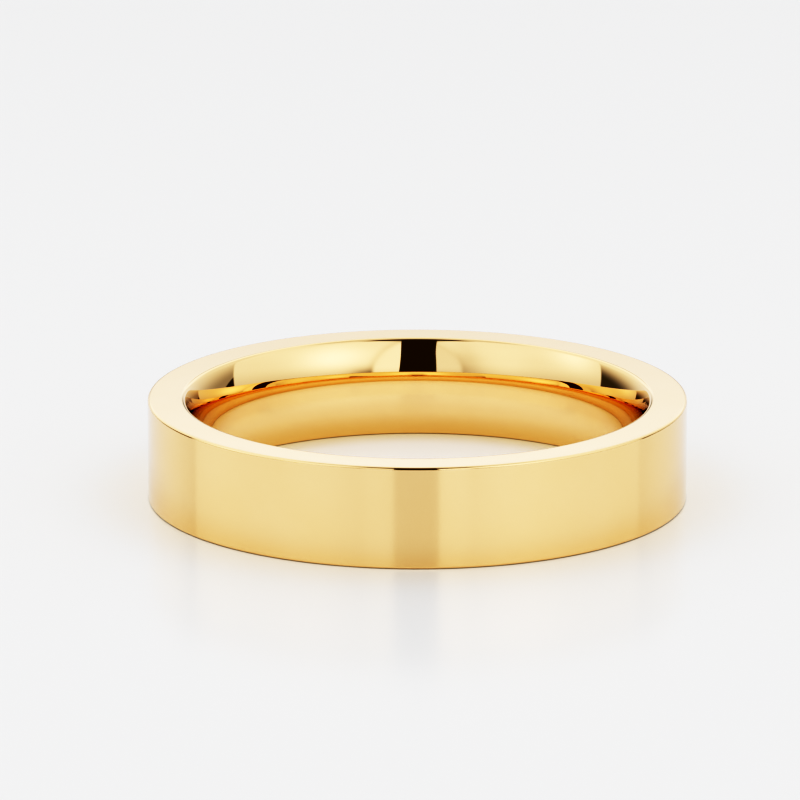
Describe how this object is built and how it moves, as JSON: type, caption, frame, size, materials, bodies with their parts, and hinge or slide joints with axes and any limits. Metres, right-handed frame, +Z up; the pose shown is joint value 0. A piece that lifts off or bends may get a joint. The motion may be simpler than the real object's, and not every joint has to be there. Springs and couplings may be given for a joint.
{
  "type": "wedding band",
  "caption": "Plain polished yellow-gold wedding band: flat outer wall, narrow flat side faces, rounded rims and a crowned comfort-fit bore, lying flat on one side.",
  "frame": {"origin": "centre of the lower side face, on the bore axis, where the band rests on a table", "axes": "+Z up along the bore axis, square to both side faces; +X and +Y are any two radial directions, because the band is a solid of revolution"},
  "size_m": [0.021, 0.021, 0.004],
  "materials": {
    "gold": "high polish"
  },
  "bodies": {
    "root": {"band": "gold"}
  },
  "joints": []
}
